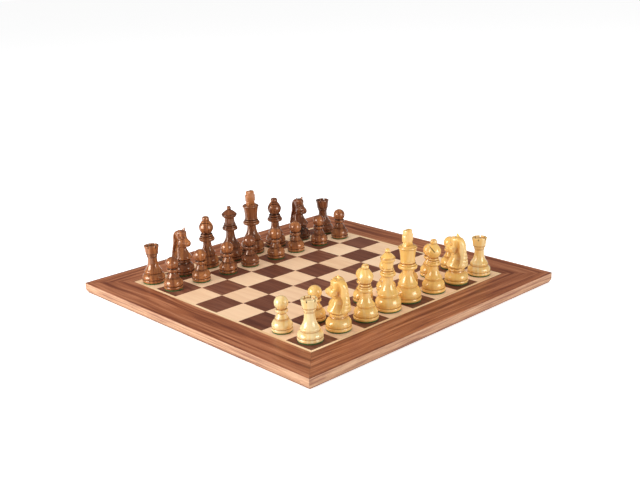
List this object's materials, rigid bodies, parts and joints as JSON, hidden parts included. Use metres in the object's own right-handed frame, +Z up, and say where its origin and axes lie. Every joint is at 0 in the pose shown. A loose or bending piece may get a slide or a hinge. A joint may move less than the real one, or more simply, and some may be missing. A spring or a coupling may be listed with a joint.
{
  "type": "chess set on a flat board",
  "caption": "Flat wooden chessboard with inlaid squares and its turned and carved men standing in their opening places, each on a felt foot.",
  "frame": {"origin": "centre of the board's underside", "axes": "+Z up, +X along the ranks from the a file to the h file, +Y from rank 1 to rank 8, so the white men stand on the -Y side"},
  "size_m": [0.4, 0.4, 0.0947],
  "materials": {
    "core_wood": "plain pressed core, hidden",
    "backing_wood": "satin lacquered walnut veneer",
    "lipping_wood": "satin lacquered solid light hardwood",
    "walnut_border": "satin lacquered walnut veneer, grain along each side",
    "maple_line": "satin lacquered maple",
    "maple_squares": "satin lacquered maple veneer",
    "walnut_squares": "satin lacquered dark walnut veneer",
    "boxwood": "polished lacquered boxwood",
    "dark_hardwood": "polished lacquered dark hardwood, streaked golden and brown",
    "green_felt": "matt green wool felt"
  },
  "bodies": {
    "board": {"core_panel": "core_wood", "backing_veneer": "backing_wood", "edge_lipping": "lipping_wood", "border_veneer": "walnut_border", "stringing": "maple_line", "light_squares": "maple_squares", "dark_squares": "walnut_squares"},
    "white_rook_a_man": {"white_rook_a": "boxwood", "white_rook_a_felt": "green_felt"},
    "white_knight_b_man": {"white_knight_b": "boxwood", "white_knight_b_felt": "green_felt", "white_knight_b_head": "boxwood"},
    "white_bishop_c_man": {"white_bishop_c": "boxwood", "white_bishop_c_felt": "green_felt"},
    "white_queen_man": {"white_queen": "boxwood", "white_queen_felt": "green_felt"},
    "white_king_man": {"white_king": "boxwood", "white_king_felt": "green_felt"},
    "white_bishop_f_man": {"white_bishop_f": "boxwood", "white_bishop_f_felt": "green_felt"},
    "white_knight_g_man": {"white_knight_g": "boxwood", "white_knight_g_felt": "green_felt", "white_knight_g_head": "boxwood"},
    "white_rook_h_man": {"white_rook_h": "boxwood", "white_rook_h_felt": "green_felt"},
    "white_pawn_a_man": {"white_pawn_a": "boxwood"},
    "white_pawn_b_man": {"white_pawn_b": "boxwood"},
    "white_pawn_c_man": {"white_pawn_c": "boxwood"},
    "white_pawn_d_man": {"white_pawn_d": "boxwood"},
    "white_pawn_e_man": {"white_pawn_e": "boxwood"},
    "white_pawn_f_man": {"white_pawn_f": "boxwood"},
    "white_pawn_g_man": {"white_pawn_g": "boxwood"},
    "white_pawn_h_man": {"white_pawn_h": "boxwood"},
    "dark_rook_a_man": {"dark_rook_a": "dark_hardwood", "dark_rook_a_felt": "green_felt"},
    "dark_knight_b_man": {"dark_knight_b": "dark_hardwood", "dark_knight_b_felt": "green_felt", "dark_knight_b_head": "dark_hardwood"},
    "dark_bishop_c_man": {"dark_bishop_c": "dark_hardwood", "dark_bishop_c_felt": "green_felt"},
    "dark_queen_man": {"dark_queen": "dark_hardwood", "dark_queen_felt": "green_felt"},
    "dark_king_man": {"dark_king": "dark_hardwood", "dark_king_felt": "green_felt"},
    "dark_bishop_f_man": {"dark_bishop_f": "dark_hardwood", "dark_bishop_f_felt": "green_felt"},
    "dark_knight_g_man": {"dark_knight_g": "dark_hardwood", "dark_knight_g_felt": "green_felt", "dark_knight_g_head": "dark_hardwood"},
    "dark_rook_h_man": {"dark_rook_h": "dark_hardwood", "dark_rook_h_felt": "green_felt"},
    "dark_pawn_a_man": {"dark_pawn_a": "dark_hardwood"},
    "dark_pawn_b_man": {"dark_pawn_b": "dark_hardwood"},
    "dark_pawn_c_man": {"dark_pawn_c": "dark_hardwood"},
    "dark_pawn_d_man": {"dark_pawn_d": "dark_hardwood"},
    "dark_pawn_e_man": {"dark_pawn_e": "dark_hardwood"},
    "dark_pawn_f_man": {"dark_pawn_f": "dark_hardwood"},
    "dark_pawn_g_man": {"dark_pawn_g": "dark_hardwood"},
    "dark_pawn_h_man": {"dark_pawn_h": "dark_hardwood"}
  },
  "joints": [
    {"name": "lift_white_rook_a", "type": "slide", "parent": "board", "child": "white_rook_a_man", "axis": [0, 0, 1], "range_m": [0, 0.1]},
    {"name": "lift_white_knight_b", "type": "slide", "parent": "board", "child": "white_knight_b_man", "axis": [0, 0, 1], "range_m": [0, 0.1]},
    {"name": "lift_white_bishop_c", "type": "slide", "parent": "board", "child": "white_bishop_c_man", "axis": [0, 0, 1], "range_m": [0, 0.1]},
    {"name": "lift_white_queen", "type": "slide", "parent": "board", "child": "white_queen_man", "axis": [0, 0, 1], "range_m": [0, 0.1]},
    {"name": "lift_white_king", "type": "slide", "parent": "board", "child": "white_king_man", "axis": [0, 0, 1], "range_m": [0, 0.1]},
    {"name": "lift_white_bishop_f", "type": "slide", "parent": "board", "child": "white_bishop_f_man", "axis": [0, 0, 1], "range_m": [0, 0.1]},
    {"name": "lift_white_knight_g", "type": "slide", "parent": "board", "child": "white_knight_g_man", "axis": [0, 0, 1], "range_m": [0, 0.1]},
    {"name": "lift_white_rook_h", "type": "slide", "parent": "board", "child": "white_rook_h_man", "axis": [0, 0, 1], "range_m": [0, 0.1]},
    {"name": "lift_white_pawn_a", "type": "slide", "parent": "board", "child": "white_pawn_a_man", "axis": [0, 0, 1], "range_m": [0, 0.1]},
    {"name": "lift_white_pawn_b", "type": "slide", "parent": "board", "child": "white_pawn_b_man", "axis": [0, 0, 1], "range_m": [0, 0.1]},
    {"name": "lift_white_pawn_c", "type": "slide", "parent": "board", "child": "white_pawn_c_man", "axis": [0, 0, 1], "range_m": [0, 0.1]},
    {"name": "lift_white_pawn_d", "type": "slide", "parent": "board", "child": "white_pawn_d_man", "axis": [0, 0, 1], "range_m": [0, 0.1]},
    {"name": "lift_white_pawn_e", "type": "slide", "parent": "board", "child": "white_pawn_e_man", "axis": [0, 0, 1], "range_m": [0, 0.1]},
    {"name": "lift_white_pawn_f", "type": "slide", "parent": "board", "child": "white_pawn_f_man", "axis": [0, 0, 1], "range_m": [0, 0.1]},
    {"name": "lift_white_pawn_g", "type": "slide", "parent": "board", "child": "white_pawn_g_man", "axis": [0, 0, 1], "range_m": [0, 0.1]},
    {"name": "lift_white_pawn_h", "type": "slide", "parent": "board", "child": "white_pawn_h_man", "axis": [0, 0, 1], "range_m": [0, 0.1]},
    {"name": "lift_dark_rook_a", "type": "slide", "parent": "board", "child": "dark_rook_a_man", "axis": [0, 0, 1], "range_m": [0, 0.1]},
    {"name": "lift_dark_knight_b", "type": "slide", "parent": "board", "child": "dark_knight_b_man", "axis": [0, 0, 1], "range_m": [0, 0.1]},
    {"name": "lift_dark_bishop_c", "type": "slide", "parent": "board", "child": "dark_bishop_c_man", "axis": [0, 0, 1], "range_m": [0, 0.1]},
    {"name": "lift_dark_queen", "type": "slide", "parent": "board", "child": "dark_queen_man", "axis": [0, 0, 1], "range_m": [0, 0.1]},
    {"name": "lift_dark_king", "type": "slide", "parent": "board", "child": "dark_king_man", "axis": [0, 0, 1], "range_m": [0, 0.1]},
    {"name": "lift_dark_bishop_f", "type": "slide", "parent": "board", "child": "dark_bishop_f_man", "axis": [0, 0, 1], "range_m": [0, 0.1]},
    {"name": "lift_dark_knight_g", "type": "slide", "parent": "board", "child": "dark_knight_g_man", "axis": [0, 0, 1], "range_m": [0, 0.1]},
    {"name": "lift_dark_rook_h", "type": "slide", "parent": "board", "child": "dark_rook_h_man", "axis": [0, 0, 1], "range_m": [0, 0.1]},
    {"name": "lift_dark_pawn_a", "type": "slide", "parent": "board", "child": "dark_pawn_a_man", "axis": [0, 0, 1], "range_m": [0, 0.1]},
    {"name": "lift_dark_pawn_b", "type": "slide", "parent": "board", "child": "dark_pawn_b_man", "axis": [0, 0, 1], "range_m": [0, 0.1]},
    {"name": "lift_dark_pawn_c", "type": "slide", "parent": "board", "child": "dark_pawn_c_man", "axis": [0, 0, 1], "range_m": [0, 0.1]},
    {"name": "lift_dark_pawn_d", "type": "slide", "parent": "board", "child": "dark_pawn_d_man", "axis": [0, 0, 1], "range_m": [0, 0.1]},
    {"name": "lift_dark_pawn_e", "type": "slide", "parent": "board", "child": "dark_pawn_e_man", "axis": [0, 0, 1], "range_m": [0, 0.1]},
    {"name": "lift_dark_pawn_f", "type": "slide", "parent": "board", "child": "dark_pawn_f_man", "axis": [0, 0, 1], "range_m": [0, 0.1]},
    {"name": "lift_dark_pawn_g", "type": "slide", "parent": "board", "child": "dark_pawn_g_man", "axis": [0, 0, 1], "range_m": [0, 0.1]},
    {"name": "lift_dark_pawn_h", "type": "slide", "parent": "board", "child": "dark_pawn_h_man", "axis": [0, 0, 1], "range_m": [0, 0.1]}
  ]
}
